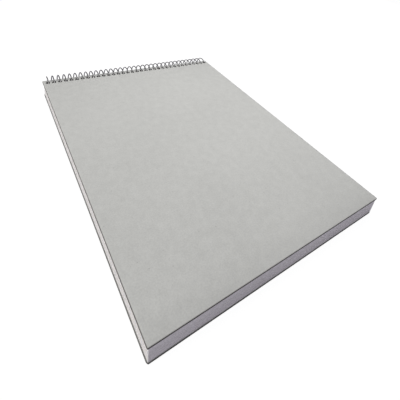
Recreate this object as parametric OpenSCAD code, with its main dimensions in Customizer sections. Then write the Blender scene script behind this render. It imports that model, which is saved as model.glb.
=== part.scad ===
// Ruled paper pad bound along its short edge by one wound wire.
// Two chipboard boards hold a block of loose sheets, and every board and sheet is punched with
// the same row of round holes. The wire runs up through each hole, over the bound edge and back.
// The pad lies level with its front up: X along the bound edge, +Y towards it, +Z up.
// The origin is under the middle of the whole pad, level with the lowest point of the wire.

/* [Boards] */
// Width of the front cover, along the bound edge
cover_w = 228.6; // [228:0.1:240]
// Length of the boards, from the free edge to the bound edge
board_l = 304.8; // [200:0.1:360]
// Thickness of each board
board_t = 1.5; // [1.2:0.1:1.5]
// How much the back board stands back from the front cover at each side
back_trim = 0.7; // [0.5:0.05:2]
// How far to the right of the front cover the back board lies
back_x = 0.5; // [0:0.05:0.5]

/* [Sheets] */
// Room that one sheet takes in the block, with the air under it
sheet_pitch = 0.16; // [0.155:0.005:0.16]
// Thickness of the paper
sheet_t = 0.15; // [0.09:0.005:0.15]
// How much the sheets stand back from the front cover at each side
side_trim = 1; // [1:0.05:2]
// How far the block leans, so that its lowest sheet lies to the right of its highest one
lean = 0.85; // [0:0.05:0.85]
// How far the free edges of the sheets stand back from the boards
sheet_back = 0.4; // [0.1:0.1:2]
// Most that a loose sheet lies out of line to either side
jog_x = 0.1; // [0:0.05:0.15]
// Most that a loose sheet lies out of line to the front or the back
jog_y = 0.02; // [0:0.01:0.03]

/* [Punching] */
// Number of holes
hole_n = 35; // [20:1:35]
// Distance from one hole to the next
hole_pitch = 6.42; // [5.8:0.01:6.45]
// Diameter of the holes
hole_d = 4.5; // [4.5:0.05:4.7]
// Distance from the middle of a hole to the bound edge
hole_inset = 6; // [4:0.1:6.5]

/* [Wire] */
// Diameter of the wire
wire_d = 1.25; // [0.8:0.05:1.25]
// Radius of a loop, to the middle of the wire
loop_r = 12.1; // [11.4:0.1:12.5]
// Room kept between the wire and the edge of a hole
wire_room = 0.16; // [0.1:0.01:0.16]

/* [Hidden] */
sheet_n = 100;
// Sheets at the front of the block that are nodes of their own
single_n = 10;
// Sheets in each pack of the rest of the block
pack_n = 10;
jog_seed = 17;
hole_facets = 48;

// The block and the height of the wire's axis
block_t = sheet_n * sheet_pitch;
pad_t = block_t + 2 * board_t;
block_w = cover_w - 2 * side_trim;
wire_r = wire_d / 2;
axis_z = loop_r + wire_r;
back_board_z = axis_z - pad_t / 2;
block_z = back_board_z + board_t;
front_cover_z = block_z + block_t;
// How far to the right the block has leaned at height z, from none at its top
function lean_x(z) = lean * (front_cover_z - z) / block_t;
wire_x = lean / 2;
// The lowest face of sheet i, where sheet 1 lies under the front cover
function sheet_z(i) = front_cover_z - i * sheet_pitch + (sheet_pitch - sheet_t) / 2;

// Steps of the wire's path round a loop
rings = 20;
ring_step = 360 / rings;
// How far in front of its axis the middle and the outer side of the wire stand, at height z from that axis
function wire_ahead(z) = sqrt(loop_r * loop_r - z * z);
function wire_front(z) = wire_ahead(z) + wire_r * loop_r / wire_ahead(z);
// The same for the wire's inner side, on the straight pieces between its rings
function inner_ring(a) = (loop_r - wire_r) * [cos(a), sin(a)];
function wire_back(z) = let (
    a = floor(asin(z / (loop_r - wire_r)) / ring_step) * ring_step,
    low = inner_ring(a),
    high = inner_ring(a + ring_step))
    low[0] + (high[0] - low[0]) * (z - low[1]) / (high[1] - low[1]);
// A board's holes stand midway between the wire's sides, where it leaves the board's two faces
hole_r = hole_d / 2;
board_back = wire_back(pad_t / 2);
board_front = wire_front(pad_t / 2 - board_t);
board_hole_ahead = (board_back + board_front) / 2;
// Sheets near the middle of the block are pushed forward by the round of the wire
function hole_ahead(z) = max(board_hole_ahead, wire_front(z) + wire_room - hole_r);
assert(board_front - board_back + 2 * wire_room <= hole_d, "the holes are too small for this wire");
assert(jog_y < sheet_back, "the sheets would stand out past the boards");
assert(lean + jog_x <= side_trim, "the sheets would stand out past the front cover");
assert(back_x <= back_trim, "the back board would stand out past the front cover");

// Places along Y, with the pad and its wire centred on the origin
axis_past_edge = board_hole_ahead - hole_inset;
whole_l = board_l + axis_past_edge + loop_r + wire_r;
free_y = -whole_l / 2;
bound_y = free_y + board_l;
axis_y = bound_y + axis_past_edge;
function hole_x(k) = (k - (hole_n - 1) / 2) * hole_pitch;

// Seeded small offsets of the loose sheets
sheet_jog_x = rands(-jog_x, jog_x, sheet_n + 1, jog_seed);
sheet_jog_y = rands(-jog_y, jog_y, sheet_n + 1, jog_seed + 1);

// The wire's path. Angle 0 is the front of a loop, in the hole; 90 is its top and 180 its back.
// A loop is flat from the back board's hole, over the top, to the same height at the back.
// Under the bound edge the wire crosses to the next loop, one hole to the left.
flat_rings = 17;
flat_start = -3 * ring_step;
right_end_angle = -5 * ring_step;
left_end_angle = 6 * ring_step;
wire_sides = 6;
right_rings = (flat_start - right_end_angle) / ring_step;
last_ring = (hole_n - 1) * rings + (left_end_angle - flat_start) / ring_step;
function ease(t) = t * t * (3 - 2 * t);
// Share of the crossing that is done at ring j of a loop
function crossed(j) = j < flat_rings ? 0 : ease((j - flat_rings + 1) / (rings - flat_rings + 1));
function loop_of(i) = i < 0 ? 0 : floor(i / rings);
function ring_of(i) = i - loop_of(i) * rings;
function ring_angle(i) = flat_start + ring_of(i) * ring_step;
function ring_x(i) = wire_x + hole_x(hole_n - 1 - loop_of(i)) - crossed(ring_of(i)) * hole_pitch;
function outward(i) = [0, -cos(ring_angle(i)), sin(ring_angle(i))];
function wire_point(i) = [ring_x(i), axis_y, axis_z] + loop_r * outward(i);
function unit(v) = v / norm(v);
function wire_along(i) = unit(wire_point(min(i + 1, last_ring)) - wire_point(max(i - 1, -right_rings)));
function wire_ring(i) = let (out = outward(i), side = unit(cross(wire_along(i), out)))
    [for (s = [0 : wire_sides - 1])
        let (a = s * 360 / wire_sides) wire_point(i) + wire_r * (cos(a) * out + sin(a) * side)];

// Least gap between the wire and itself, from each ring to the rings half a turn and more further on
wire_centres = [for (i = [-right_rings : last_ring]) wire_point(i)];
wire_gap = min([for (i = [0 : len(wire_centres) - 1])
    for (j = [i + rings / 2 : min(i + 3 * rings / 2, len(wire_centres) - 1)])
        norm(wire_centres[i] - wire_centres[j])]) - wire_d;

// Names of the nodes
function two_digits(n) = str(n < 10 ? "0" : "", n);
function three_digits(n) = str(n < 100 ? "0" : "", two_digits(n));
function sheet_name(i) = str("sheet_", two_digits(i));
first_packed = single_n + 1;
pack_firsts = [for (i = first_packed; i <= sheet_n; i = i + pack_n) i];
function pack_name(i) = str("sheets_", three_digits(i), "_", three_digits(i + pack_n - 1));

// One punched plate whose row of holes stands at hole_y and whose free edge is at low_y
module punched_plate(w, t, low_y, hole_y) {
    linear_extrude(t)
        difference() {
            translate([-w / 2, low_y])
                square([w, hole_y + hole_inset - low_y]);
            for (k = [0 : hole_n - 1])
                translate([hole_x(k), hole_y])
                    circle(d = hole_d, $fn = hole_facets);
        }
}

module board(w, x, z) {
    color([0.71, 0.71, 0.69])
        translate([x, 0, z])
            punched_plate(w, board_t, free_y, bound_y - hole_inset);
}

module front_cover() {
    board(cover_w, 0, front_cover_z);
}

module back_board() {
    board(cover_w - 2 * back_trim, back_x, back_board_z);
}

// Loose sheet i, counted from the front
module sheet(i) {
    z = sheet_z(i);
    mid_z = z + sheet_t / 2;
    color([0.95, 0.94, 0.91])
        translate([lean_x(mid_z) + sheet_jog_x[i], sheet_jog_y[i], z])
            punched_plate(block_w, sheet_t, free_y + sheet_back, axis_y - hole_ahead(mid_z - axis_z));
}

module sheet_pack(first) {
    for (i = [first : first + pack_n - 1])
        sheet(i);
}

// The wire, from under the right-hand hole to just past the top of the left-hand loop
module spiral_wire() {
    echo(least_wire_gap = wire_gap);
    assert(wire_gap > 0.4, "the wire comes too close to itself");
    ring_n = len(wire_centres);
    points = [for (i = [-right_rings : last_ring]) each wire_ring(i)];
    sides = [for (i = [0 : ring_n - 2])
        for (s = [0 : wire_sides - 1])
            let (a = i * wire_sides + s, b = i * wire_sides + (s + 1) % wire_sides)
                each [[a, a + wire_sides, b], [b, a + wire_sides, b + wire_sides]]];
    last = (ring_n - 1) * wire_sides;
    right_end = [for (s = [1 : wire_sides - 2]) [0, s, s + 1]];
    left_end = [for (s = [1 : wire_sides - 2]) [last, last + s + 1, last + s]];
    color([0.66, 0.66, 0.67])
        polyhedron(points, concat(sides, right_end, left_end));
}

front_cover();
back_board();
spiral_wire();
for (i = [1 : single_n]) sheet(i);
for (i = pack_firsts) sheet_pack(i);
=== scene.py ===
"""Looks of a ruled paper pad: punched chipboard boards, ruled sheets and one wound wire."""

import math

import bmesh
import bpy
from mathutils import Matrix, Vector


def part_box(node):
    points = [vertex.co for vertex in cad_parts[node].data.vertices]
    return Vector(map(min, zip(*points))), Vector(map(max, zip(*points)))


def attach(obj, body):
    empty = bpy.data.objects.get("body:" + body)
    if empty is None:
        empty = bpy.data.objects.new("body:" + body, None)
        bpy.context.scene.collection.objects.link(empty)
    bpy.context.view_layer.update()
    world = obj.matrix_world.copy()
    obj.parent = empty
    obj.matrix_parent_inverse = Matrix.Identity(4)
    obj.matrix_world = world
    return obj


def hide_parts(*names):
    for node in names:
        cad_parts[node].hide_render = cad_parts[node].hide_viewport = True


bl_info = {
    "name": "Ruled Paper Pad",
    "version": (1, 0, 0),
    "blender": (4, 5, 0),
    "location": "View3D > Sidebar > Paper Pad",
    "description": "Models the boards and wire of a bound pad, finishes its sheets and sets up a stage",
    "category": "Object",
}

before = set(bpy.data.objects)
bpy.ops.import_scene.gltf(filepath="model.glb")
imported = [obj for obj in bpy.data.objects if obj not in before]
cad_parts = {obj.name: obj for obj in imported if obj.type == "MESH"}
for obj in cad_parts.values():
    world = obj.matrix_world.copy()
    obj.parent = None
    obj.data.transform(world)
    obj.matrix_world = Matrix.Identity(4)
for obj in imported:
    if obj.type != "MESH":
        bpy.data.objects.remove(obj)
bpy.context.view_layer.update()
COVER_LOW, COVER_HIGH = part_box("front_cover")
BACK_LOW, BACK_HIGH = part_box("back_board")
WIRE_LOW, WIRE_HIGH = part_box("spiral_wire")
WIRE_AXIS = (WIRE_LOW + WIRE_HIGH) / 2

# Sides of a punched hole, and rows of faces from the holes to the free edge
HOLE_SIDES = 24
FIELD_ROWS = 14
# Steps round the boards' corners and cut edges, and round the wire
CORNER_STEPS = 6
EDGE_STEPS = 2
WIRE_STEPS = 3
# Edges that turn by more than these angles are rounded off, or stay sharp in the shading
BEVEL_ANGLE = math.radians(60)
SMOOTH_ANGLE = math.radians(50)
# How much of a printed line's colour shows on the paper
INK = 0.75
# Places closer than this are one place
NEAR = 1e-5
# Width of the camera's frame in millimetres, and the least distance that it sees
FRAME_WIDTH = 36
CLIP_START = 0.01


def number_prop(name, description, default, unit="NONE"):
    return bpy.props.FloatProperty(name=name, description=description, default=default, unit=unit)


def length_prop(name, description, default):
    return number_prop(name, description, default, "LENGTH")


def angle_prop(name, description, degrees):
    return bpy.props.FloatProperty(
        name=name, description=description, default=math.radians(degrees), subtype="ANGLE")


def colour_prop(name, description, default):
    return bpy.props.FloatVectorProperty(
        name=name, description=description, default=default, subtype="COLOR")


def place_prop(name, description, default):
    return bpy.props.FloatVectorProperty(
        name=name, description=description, default=default, subtype="TRANSLATION")


class PadBoardSettings(bpy.types.PropertyGroup):
    """The two chipboard boards and the row of holes punched in them."""

    hole_count: bpy.props.IntProperty(
        name="Holes", description="Number of punched holes", default=35, min=2)
    hole_pitch: length_prop("Hole Pitch", "From one hole to the next", 0.00642)
    hole_diameter: length_prop("Hole Diameter", "Width of a punched hole", 0.0045)
    hole_inset: length_prop("Hole Inset", "From the middle of a hole to the bound edge", 0.006)
    cover_corner: length_prop("Cover Corner Radius", "How far the cover's corners are worn round", 0.0007)
    back_corner: length_prop("Back Corner Radius", "How far the back's corners are worn round", 0.0022)
    # The rims are drawn darker on the board's face: wear, and painted shade that widens the dark line of
    # the shaded cut edge
    cover_rim: length_prop("Cover Rim", "How far the rim of wear and shade reaches in from the cover's edges", 0.00035)
    back_rim: length_prop("Back Rim", "How far the rim of wear and shade reaches in from the back's edges", 0.0008)
    edge_radius: length_prop("Edge Radius", "How far the cut edges are rubbed", 0.00016)
    dark_pulp: colour_prop("Dark Pulp", "Darker fibres of the board", (0.506, 0.517, 0.497))
    light_pulp: colour_prop("Light Pulp", "Paler fibres of the board", (0.659, 0.673, 0.647))
    speck: colour_prop("Specks", "Dark specks of waste paper in the pulp", (0.16, 0.155, 0.15))
    cut: colour_prop("Cut Edge", "The cut edges of the board", (0.075, 0.07, 0.066))


class PadSheetSettings(bpy.types.PropertyGroup):
    """The ruled sheets."""

    paper: colour_prop("Paper", "Face of a sheet", (0.86, 0.845, 0.80))
    edge: colour_prop("Paper Edge", "Cut edges of the block of sheets", (0.862, 0.854, 0.858))
    rule: colour_prop("Rules", "Ruled lines across a sheet", (0.42, 0.56, 0.72))
    margin: colour_prop("Margin Line", "Margin line down a sheet", (0.75, 0.38, 0.38))
    rule_gap: length_prop("Rule Gap", "From one rule to the next", 0.0087)
    rule_width: length_prop("Rule Width", "Width of a printed line", 0.0004)
    head_space: length_prop("Head Space", "From the bound edge to the first rule", 0.034)
    margin_in: length_prop("Margin", "From the left edge to the margin line", 0.032)
    sheet_pitch: length_prop("Sheet Pitch", "Room that one sheet takes in the block", 0.00016)


class PadWireSettings(bpy.types.PropertyGroup):
    """The wound wire. Its angles are 0 in the holes, 90 at the top of a loop and 180 at its back."""

    wire_diameter: length_prop("Wire Diameter", "Thickness of the wire", 0.00125)
    flat_from: angle_prop("Flat From", "Where a loop becomes flat, in the back board's hole", -54)
    flat_to: angle_prop("Flat To", "Where the wire starts across to the next loop", 234)
    right_end: angle_prop("Right End", "Where the wire starts, under the right-hand hole", -90)
    left_end: angle_prop("Left End", "Where the wire stops, past the top of the left-hand loop", 108)
    steps: bpy.props.IntProperty(
        name="Steps", description="Points on each loop", default=40, min=20)
    metal: colour_prop("Metal", "Colour of the bare wire", (0.24, 0.24, 0.245))


class PadStageSettings(bpy.types.PropertyGroup):
    """The camera, the floor and the lights."""

    camera_place: place_prop("Camera Place", "Where the camera stands", (-0.16511, -0.2387, 0.23496))
    camera_turn: bpy.props.FloatVectorProperty(
        name="Camera Turn", description="How the camera is turned", subtype="EULER",
        default=[math.radians(a) for a in (64.713, -9.854, -35.17)])
    camera_lens: number_prop("Lens", "Focal length in millimetres", 29.532, "CAMERA")
    camera_shift: bpy.props.FloatVectorProperty(
        name="Shift", description="Sideways and upward shift of the frame", size=2,
        default=(-0.0582, -0.3294))
    floor_size: length_prop("Floor Size", "Side of the square floor", 8.0)
    floor_shade: colour_prop("Floor Shade", "How strongly shadows show on the floor", (0.12, 0.12, 0.12))
    floor_glow: number_prop("Floor Glow", "Even brightness of the floor in the picture", 0.95)
    floor_bounce: colour_prop("Floor Bounce", "Colour of the light off the floor", (0.675, 0.65, 0.745))
    top_place: place_prop("Top Light Place", "Where the light over the pad hangs", (0.101, 0.0654, 0.42))
    top_size: length_prop("Top Light Size", "Side of the light over the pad", 0.3)
    top_watts: number_prop("Top Light Power", "Power of the light over the pad", 0.905, "POWER")
    top_colour: colour_prop("Top Light Colour", "Colour of the light over the pad", (1.0, 0.98, 0.975))
    left_place: place_prop("Left Light Place", "Where the light on the left stands", (-1.4, 0.05, 0.5))
    left_size: length_prop("Left Light Size", "Side of the light on the left", 0.5)
    left_watts: number_prop("Left Light Power", "Power of the light on the left", 12.0, "POWER")
    right_place: place_prop("Right Light Place", "Where the light on the right stands", (1.4, 0.35, 0.15))
    right_size: length_prop("Right Light Size", "Side of the light on the right", 0.4)
    right_watts: number_prop("Right Light Power", "Power of the light on the right", 4.0, "POWER")
    side_colour: colour_prop("Side Light Colour", "Colour of the side lights", (1.0, 0.985, 0.94))
    fill_colour: colour_prop("Fill Colour", "Colour of the light from all round", (0.328, 0.319, 0.336))


class Value:
    """What a node gives. Sums on values add Math nodes to its tree."""

    def __init__(self, nodes, socket):
        self.nodes = nodes
        self.socket = socket

    def sum(self, operation, first, second):
        return self.nodes.add("Math", {"operation": operation}, {0: first, 1: second})

    def __add__(self, other):
        return self.sum("ADD", self, other)

    def __sub__(self, other):
        return self.sum("SUBTRACT", self, other)

    def __rsub__(self, other):
        return self.sum("SUBTRACT", other, self)

    def __mul__(self, other):
        return self.sum("MULTIPLY", self, other)

    def __truediv__(self, other):
        return self.sum("DIVIDE", self, other)

    def __rtruediv__(self, other):
        return self.sum("DIVIDE", other, self)

    def __abs__(self):
        return self.sum("ABSOLUTE", self, 0.0)

    __radd__ = __add__
    __rmul__ = __mul__

    def least(self, other):
        return self.sum("MINIMUM", self, other)

    def most(self, other):
        return self.sum("MAXIMUM", self, other)

    def rise(self, low, high):
        """0 below low, 1 above high and a smooth rise between them."""
        sockets = {"Value": self, "From Min": low, "From Max": high}
        return self.nodes.add("MapRange", {"interpolation_type": "SMOOTHSTEP"}, sockets)


class Nodes:
    """A node tree in the making."""

    def __init__(self, tree):
        self.tree = tree

    def add(self, kind, settings=None, sockets=None, out=0):
        """Any node: its type, its settings, then the values or links of its sockets."""
        node = self.tree.nodes.new("ShaderNode" + kind)
        for key, value in (settings or {}).items():
            setattr(node, key, value)
        for key, value in (sockets or {}).items():
            self.feed(node.inputs[key], value)
        return Value(self, node.outputs[out])

    def feed(self, socket, value):
        if isinstance(value, Value):
            self.tree.links.new(value.socket, socket)
        elif hasattr(value, "__len__") and socket.type == "RGBA":
            socket.default_value = (*value, 1.0)
        else:
            socket.default_value = value


class Finish(Nodes):
    """A material in the making, on the piece's own coordinates."""

    def __init__(self, name):
        self.material = bpy.data.materials.new(name)
        self.material.use_nodes = True
        super().__init__(self.material.node_tree)
        self.surface = self.tree.nodes["Principled BSDF"]
        self.place = self.add("TexCoord", out="Object")
        self.facing = self.add("TexCoord", out="Normal")

    def split(self, vector):
        node = self.add("SeparateXYZ", None, {"Vector": vector}).socket.node
        return [Value(self, output) for output in node.outputs]

    def noise(self, size, detail=2.0, roughness=0.5, stretch=(1.0, 1.0, 1.0)):
        """Noise whose lumps are about size long, drawn out along each axis by stretch."""
        scale = [1.0 / (size * s) for s in stretch]
        spot = self.add("Mapping", None, {"Vector": self.place, "Scale": scale})
        sockets = {"Vector": spot, "Scale": 1.0, "Detail": detail, "Roughness": roughness}
        return self.add("TexNoise", None, sockets)

    def flecks(self, size, width, share):
        """Round flecks about width across in a share of cells about size wide."""
        spot = self.add("Mapping", None, {"Vector": self.place, "Scale": [1.0 / size] * 3})
        near = self.add("TexVoronoi", None, {"Vector": spot, "Scale": 1.0}, out="Distance")
        chance = Value(self, near.socket.node.outputs["Color"])
        chosen = self.split(chance)[0].rise(1.0 - share - 0.02, 1.0 - share)
        return chosen * (1 - near.rise(0.3 * width / size, 0.5 * width / size))

    def mix(self, share, first, second):
        return self.add("Mix", {"data_type": "RGBA"}, {0: share, 6: first, 7: second}, out=2)

    def sides(self):
        """1 on faces that stand upright and 0 on faces that lie flat."""
        return 1 - abs(self.split(self.facing)[2]).rise(0.35, 0.85)

    def bump(self, height, strength, depth):
        return self.add("Bump", None, {"Height": height, "Strength": strength, "Distance": depth})

    def finish(self, **sockets):
        """Sets or links the shader's own sockets, named with underscores for spaces."""
        for name, value in sockets.items():
            self.feed(self.surface.inputs[name.replace("_", " ")], value)
        return self.material


def shade(colour, share):
    """A colour made darker by a share below 1 or paler by one above it."""
    return [c * share for c in colour]


def chipboard(name, low, high, rim, boards):
    """Grey board pressed from mixed waste paper, dark at its cut edges, with a darker rim of wear and
    painted shade along its edges and painted shade on the walls of its holes.
    """
    board = Finish(name)
    x, y = board.split(board.place)[:2]
    clouds = board.noise(0.09)
    mottle = board.noise(0.007, detail=4.0, roughness=0.6)
    grain = board.noise(0.0011, detail=3.0, roughness=0.6)
    strands_x = board.noise(0.0008, stretch=(7.0, 1.0, 1.0))
    strands_y = board.noise(0.0008, stretch=(1.0, 7.0, 1.0))
    strands = strands_x.most(strands_y)
    hairs = strands.rise(0.60, 0.72)
    tone = clouds * 0.2 + mottle * 0.35 + grain * 0.6 - 0.08
    pulp = board.mix(tone.rise(0.15, 0.85), boards.dark_pulp, boards.light_pulp)
    pulp = board.mix(hairs * 0.25, pulp, boards.light_pulp)
    dark_flecks = board.flecks(0.0048, width=0.0010, share=0.25)
    pulp = board.mix(dark_flecks * 0.35, pulp, boards.speck)
    inward = (x - low.x).least(high.x - x).least(y - low.y).least(high.y - y)
    # A darker rim along the outer edges: wear, and painted shade that widens the dark line of the shaded
    # cut edge
    wear_and_shade_rim = 1 - (inward - grain * 0.0002).rise(rim * 0.3, rim)
    pulp = board.mix(wear_and_shade_rim * 0.6, pulp, boards.cut)
    layers = board.noise(0.00022, stretch=(60.0, 60.0, 1.0))
    cut = board.mix(layers.rise(0.4, 0.75) * 0.5, boards.cut, shade(boards.cut, 2.2))
    # Painted shade: cut faces away from the outer edges, the walls of the holes, are drawn at a quarter
    # of the cut edge's colour
    cut = board.mix(inward.rise(rim, rim * 2), cut, shade(boards.cut, 0.25))
    sides = board.sides()
    height = grain * 0.5 + strands * 0.35 + layers * sides
    return board.finish(
        Base_Color=board.mix(sides, pulp, cut),
        Roughness=0.94 - grain * 0.08,
        Specular_IOR_Level=0.05,
        Normal=board.bump(height, strength=0.35, depth=0.00012))


def paper(sheets):
    """Uncoated writing paper, ruled on both faces, whose stacked edges show as fine lines."""
    sheet = Finish("ruled_paper")
    x, y, z = sheet.split(sheet.place)
    fibre = sheet.noise(0.0016, detail=4.0, roughness=0.6)
    bloom = sheet.noise(0.03)
    tone = (fibre * 0.5 + bloom * 0.5).rise(0.2, 0.8) * 0.05
    face = sheet.mix(tone, sheets.paper, sheets.edge)
    first_rule = COVER_HIGH.y - sheets.head_space
    half_line = sheets.rule_width / 2
    down = first_rule - y
    gaps = down / sheets.rule_gap
    off_rule = abs(sheet.add("Math", {"operation": "WRAP"}, {0: gaps, 1: 0.5, 2: -0.5})) * sheets.rule_gap
    below_head = down.rise(-half_line * 2, -half_line)
    off_margin = abs(x - (COVER_LOW.x + sheets.margin_in))
    rules, margin = [1 - off.rise(half_line * 0.6, half_line * 1.2) for off in (off_rule, off_margin)]
    face = sheet.mix(rules * below_head * INK, face, sheets.rule)
    face = sheet.mix(margin * INK, face, sheets.margin)
    leaf = sheet.add("Math", {"operation": "FLOOR"}, {0: (z - BACK_HIGH.z) / sheets.sheet_pitch})
    own_tone = sheet.add("TexWhiteNoise", {"noise_dimensions": "1D"}, {"W": leaf})
    drift = sheet.noise(0.0009, stretch=(50.0, 50.0, 1.0))
    streak = own_tone * 0.5 + drift * 0.8 - 0.15
    edge = sheet.mix(streak.rise(0.1, 0.9), shade(sheets.edge, 0.84), sheets.edge)
    return sheet.finish(
        Base_Color=sheet.mix(sheet.sides(), face, edge),
        Roughness=0.9 - fibre * 0.06,
        Specular_IOR_Level=0.3,
        Normal=sheet.bump(fibre, strength=0.12, depth=0.00006))


def bare_wire(wire):
    """Bright drawn steel with fine rubbed marks."""
    steel = Finish("bright_wire")
    rubbed = steel.noise(0.0012, detail=3.0, roughness=0.6)
    tarnish = steel.noise(0.012)
    return steel.finish(
        Base_Color=steel.mix(tarnish.rise(0.3, 0.75) * 0.6, wire.metal, shade(wire.metal, 0.7)),
        Metallic=1.0,
        Roughness=0.24 + rubbed * 0.14,
        Normal=steel.bump(rubbed, strength=0.08, depth=0.00005))


def pick(piece, part, test):
    """In edit mode, selects the corners of piece, or the edges of its outline, that pass a test."""
    bpy.ops.mesh.select_mode(type=part)
    bpy.ops.mesh.select_all(action="DESELECT")
    cage = bmesh.from_edit_mesh(piece.data)
    if part == "VERT":
        for vert in cage.verts:
            vert.select_set(test(vert.co))
    else:
        for edge in cage.edges:
            edge.select_set(edge.is_boundary and all(test(v.co) for v in edge.verts))
    bmesh.update_edit_mesh(piece.data)


def modifier(kind, **settings):
    """Adds a modifier to the active object and applies it."""
    bpy.ops.object.modifier_add(type=kind)
    added = bpy.context.object.modifiers[-1]
    for name, value in settings.items():
        setattr(added, name, value)
    bpy.ops.object.modifier_apply(modifier=added.name)


def punched_board(name, low, high, corner, boards):
    """One board: a row of cells with round holes, drawn out to the board's outline and thickened."""
    row_y = high.y - boards.hole_inset
    first_x = (low.x + high.x) / 2 - (boards.hole_count - 1) / 2 * boards.hole_pitch
    bpy.ops.object.select_all(action="DESELECT")
    bpy.ops.mesh.primitive_plane_add(size=1, location=(first_x, row_y, low.z))
    piece = bpy.context.object
    piece.name = piece.data.name = name
    piece.scale = (boards.hole_pitch, 2 * boards.hole_inset, 1)
    bpy.ops.object.transform_apply(location=True, rotation=True, scale=True)
    bpy.ops.object.mode_set(mode="EDIT")
    bpy.ops.mesh.select_all(action="SELECT")
    bpy.ops.mesh.delete(type="ONLY_FACE")
    bpy.ops.mesh.select_all(action="SELECT")
    bpy.ops.mesh.subdivide(number_cuts=HOLE_SIDES // 4 - 1)
    bpy.ops.mesh.primitive_circle_add(
        vertices=HOLE_SIDES, radius=boards.hole_diameter / 2, location=(first_x, row_y, low.z))
    bpy.ops.mesh.select_all(action="SELECT")
    bpy.ops.mesh.bridge_edge_loops()
    bpy.ops.object.mode_set(mode="OBJECT")
    modifier(
        "ARRAY", count=boards.hole_count, use_relative_offset=False, use_constant_offset=True,
        constant_offset_displace=(boards.hole_pitch, 0, 0), use_merge_vertices=True, merge_threshold=NEAR)
    draw_out(piece, low, high)
    bpy.ops.object.mode_set(mode="EDIT")
    pick(piece, "VERT", lambda co: max(
        min(co.x - low.x, high.x - co.x), min(co.y - low.y, high.y - co.y)) < NEAR)
    bpy.ops.mesh.bevel(affect="VERTICES", offset=corner, segments=CORNER_STEPS)
    bpy.ops.mesh.select_all(action="SELECT")
    bpy.ops.mesh.normals_make_consistent(inside=False)
    bpy.ops.object.mode_set(mode="OBJECT")
    if piece.data.polygons[0].normal.z < 0:
        piece.data.flip_normals()
    modifier("SOLIDIFY", thickness=high.z - low.z, offset=1)
    modifier(
        "BEVEL", width=boards.edge_radius, segments=EDGE_STEPS,
        limit_method="ANGLE", angle_limit=BEVEL_ANGLE)
    bpy.ops.object.shade_smooth_by_angle(angle=SMOOTH_ANGLE)
    return piece


def draw_out(piece, low, high):
    """Extrudes the row of cells to the board's two sides and down to its free edge."""
    bpy.ops.object.mode_set(mode="EDIT")
    ends = [v.co.x for v in piece.data.vertices]
    for end, side in ((min(ends), low.x), (max(ends), high.x)):
        pick(piece, "EDGE", lambda co: abs(co.x - end) < NEAR)
        bpy.ops.mesh.extrude_region_move(TRANSFORM_OT_translate={"value": (side - end, 0, 0)})
    bpy.ops.object.mode_set(mode="OBJECT")
    row_low = min(v.co.y for v in piece.data.vertices)
    bpy.ops.object.mode_set(mode="EDIT")
    pick(piece, "EDGE", lambda co: abs(co.y - row_low) < NEAR)
    for row in range(FIELD_ROWS):
        bpy.ops.mesh.extrude_region_move(
            TRANSFORM_OT_translate={"value": (0, (low.y - row_low) / FIELD_ROWS, 0)})
    bpy.ops.object.mode_set(mode="OBJECT")


class PAD_OT_boards(bpy.types.Operator):
    """Model the front cover and the back board"""

    bl_idname = "pad.boards"
    bl_label = "Boards"

    def execute(self, context):
        boards = context.scene.pad_boards
        for name, node, body, low, high, corner, rim in (
            ("front_cover_board", "front_cover", "front_cover", COVER_LOW, COVER_HIGH,
             boards.cover_corner, boards.cover_rim),
            ("back_board_board", "back_board", "pad_base", BACK_LOW, BACK_HIGH,
             boards.back_corner, boards.back_rim),
        ):
            piece = punched_board(name, low, high, corner, boards)
            piece.data.materials.append(chipboard(node + "_chipboard", low, high, rim, boards))
            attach(piece, body)
            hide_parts(node)
        return {"FINISHED"}


class PAD_OT_sheets(bpy.types.Operator):
    """Finish the sheets as ruled paper"""

    bl_idname = "pad.sheets"
    bl_label = "Sheets"

    def execute(self, context):
        finish = paper(context.scene.pad_sheets)
        for name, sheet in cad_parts.items():
            if name.startswith("sheet"):
                sheet.data.materials.clear()
                sheet.data.materials.append(finish)
        return {"FINISHED"}


class PAD_OT_wire(bpy.types.Operator):
    """Wind the wire through the holes"""

    bl_idname = "pad.wire"
    bl_label = "Wire"

    def execute(self, context):
        wire = context.scene.pad_wire
        boards = context.scene.pad_boards
        bpy.ops.object.select_all(action="DESELECT")
        bpy.ops.curve.primitive_nurbs_path_add(location=(0, 0, 0))
        piece = context.object
        piece.name = piece.data.name = "spiral_wire_wound"
        points = wire_points(wire, boards)
        piece.data.splines.clear()
        spline = piece.data.splines.new("POLY")
        spline.points.add(len(points) - 1)
        for spot, co in zip(spline.points, points):
            spot.co = (*co, 1.0)
        piece.data.bevel_depth = wire.wire_diameter / 2
        piece.data.bevel_resolution = WIRE_STEPS
        piece.data.use_fill_caps = True
        bpy.ops.object.convert(target="MESH")
        piece = context.object
        bpy.ops.object.shade_smooth_by_angle(angle=SMOOTH_ANGLE)
        piece.data.materials.clear()
        piece.data.materials.append(bare_wire(wire))
        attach(piece, "pad_base")
        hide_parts("spiral_wire")
        return {"FINISHED"}


def wire_points(wire, boards):
    """Points along the wire, from its right end to its left end, one loop after another."""
    radius = (WIRE_HIGH.y - WIRE_LOW.y) / 2 - wire.wire_diameter / 2
    step = 2 * math.pi / wire.steps
    last_loop = boards.hole_count - 1
    turns = last_loop + (wire.left_end - wire.right_end) / (2 * math.pi)
    points = []
    for i in range(round(turns * wire.steps) + 1):
        angle = wire.right_end + i * step
        loop = max(0, math.floor((angle - wire.flat_from) / (2 * math.pi)))
        in_loop = angle - loop * 2 * math.pi
        share = max(0.0, (in_loop - wire.flat_to) / (wire.flat_from + 2 * math.pi - wire.flat_to))
        crossed = share * share * (3 - 2 * share)
        hole_x = WIRE_AXIS.x + (last_loop / 2 - loop) * boards.hole_pitch
        points.append((
            hole_x - crossed * boards.hole_pitch,
            WIRE_AXIS.y - radius * math.cos(angle),
            WIRE_AXIS.z + radius * math.sin(angle)))
    return points


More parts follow.
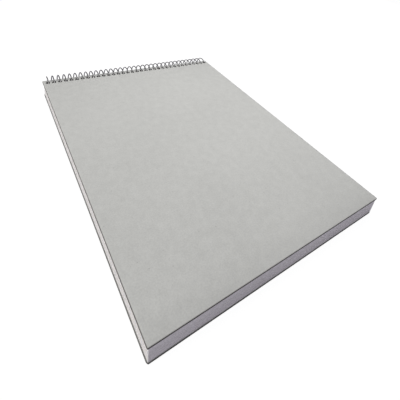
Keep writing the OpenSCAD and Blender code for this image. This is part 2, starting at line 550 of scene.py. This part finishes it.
class PAD_OT_stage(bpy.types.Operator):
    """Set up the floor, the lights and the camera"""

    bl_idname = "pad.stage"
    bl_label = "Stage"

    def execute(self, context):
        stage = context.scene.pad_stage
        self.floor(stage)
        self.lights(context, stage)
        self.camera(context, stage)
        context.scene.view_settings.view_transform = "Standard"
        return {"FINISHED"}

    def floor(self, stage):
        """A pale floor that touches the back board's free edge and the lowest line of the wire."""
        slope = (BACK_LOW.z - WIRE_LOW.z) / (WIRE_AXIS.y - BACK_LOW.y)
        bpy.ops.object.select_all(action="DESELECT")
        bpy.ops.mesh.primitive_plane_add(
            size=stage.floor_size, location=(0, WIRE_AXIS.y, WIRE_LOW.z - NEAR),
            rotation=(-math.atan(slope), 0, 0))
        floor = bpy.context.object
        floor.name = "floor"
        pale = Finish("pale_floor")
        shaded = pale.add("BsdfDiffuse", None, {"Color": stage.floor_shade})
        bright = pale.add("Emission", None, {"Strength": stage.floor_glow})
        seen = pale.add("AddShader", None, {0: shaded, 1: bright})
        dim = pale.add("BsdfDiffuse", None, {"Color": stage.floor_bounce})
        direct = pale.add("LightPath", out="Is Camera Ray")
        output = pale.tree.nodes["Material Output"]
        pale.feed(output.inputs["Surface"], pale.add("MixShader", None, {0: direct, 1: dim, 2: seen}))
        floor.data.materials.append(pale.material)

    def lights(self, context, stage):
        """Three soft lights, over the pad and at its sides, and even light from all round."""
        for name, place, size, watts, colour in (
            ("top_light", stage.top_place, stage.top_size, stage.top_watts, stage.top_colour),
            ("left_light", stage.left_place, stage.left_size, stage.left_watts, stage.side_colour),
            ("right_light", stage.right_place, stage.right_size, stage.right_watts, stage.side_colour),
        ):
            bpy.ops.object.light_add(type="AREA", location=place)
            light = context.object
            light.name = name
            light.rotation_euler = (-Vector(place)).to_track_quat("-Z", "Y").to_euler()
            light.data.size = size
            light.data.energy = watts
            light.data.color = colour
        world = bpy.data.worlds.new("soft_room")
        world.use_nodes = True
        context.scene.world = world
        room = Nodes(world.node_tree)
        fill = room.add("Background", None, {"Color": stage.fill_colour})
        white = room.add("Background", None, {"Color": (1.0, 1.0, 1.0)})
        direct = room.add("LightPath", out="Is Camera Ray")
        output = room.tree.nodes["World Output"]
        room.feed(output.inputs["Surface"], room.add("MixShader", None, {0: direct, 1: fill, 2: white}))

    def camera(self, context, stage):
        bpy.ops.object.camera_add(location=stage.camera_place, rotation=stage.camera_turn)
        camera = context.object
        camera.name = "camera"
        camera.data.lens = stage.camera_lens
        camera.data.sensor_width = FRAME_WIDTH
        camera.data.shift_x, camera.data.shift_y = stage.camera_shift
        camera.data.clip_start = CLIP_START
        context.scene.camera = camera


class PAD_PT_panel(bpy.types.Panel):
    """The pad's pieces and settings"""

    bl_label = "Paper Pad"
    bl_idname = "PAD_PT_panel"
    bl_space_type = "VIEW_3D"
    bl_region_type = "UI"
    bl_category = "Paper Pad"

    def draw(self, context):
        for name, (settings, operator) in SECTIONS.items():
            box = self.layout.box()
            box.operator(operator.bl_idname)
            for prop in settings.__annotations__:
                box.prop(getattr(context.scene, name), prop)


SECTIONS = {
    "pad_boards": (PadBoardSettings, PAD_OT_boards),
    "pad_sheets": (PadSheetSettings, PAD_OT_sheets),
    "pad_wire": (PadWireSettings, PAD_OT_wire),
    "pad_stage": (PadStageSettings, PAD_OT_stage),
}
CLASSES = [cls for pair in SECTIONS.values() for cls in pair] + [PAD_PT_panel]


def register():
    for cls in CLASSES:
        bpy.utils.register_class(cls)
    for name, (settings, operator) in SECTIONS.items():
        setattr(bpy.types.Scene, name, bpy.props.PointerProperty(type=settings))


def unregister():
    for name in SECTIONS:
        delattr(bpy.types.Scene, name)
    for cls in reversed(CLASSES):
        bpy.utils.unregister_class(cls)


def main():
    register()
    bpy.ops.pad.stage()
    bpy.ops.pad.boards()
    bpy.ops.pad.sheets()
    bpy.ops.pad.wire()


if __name__ == "__main__":
    main()
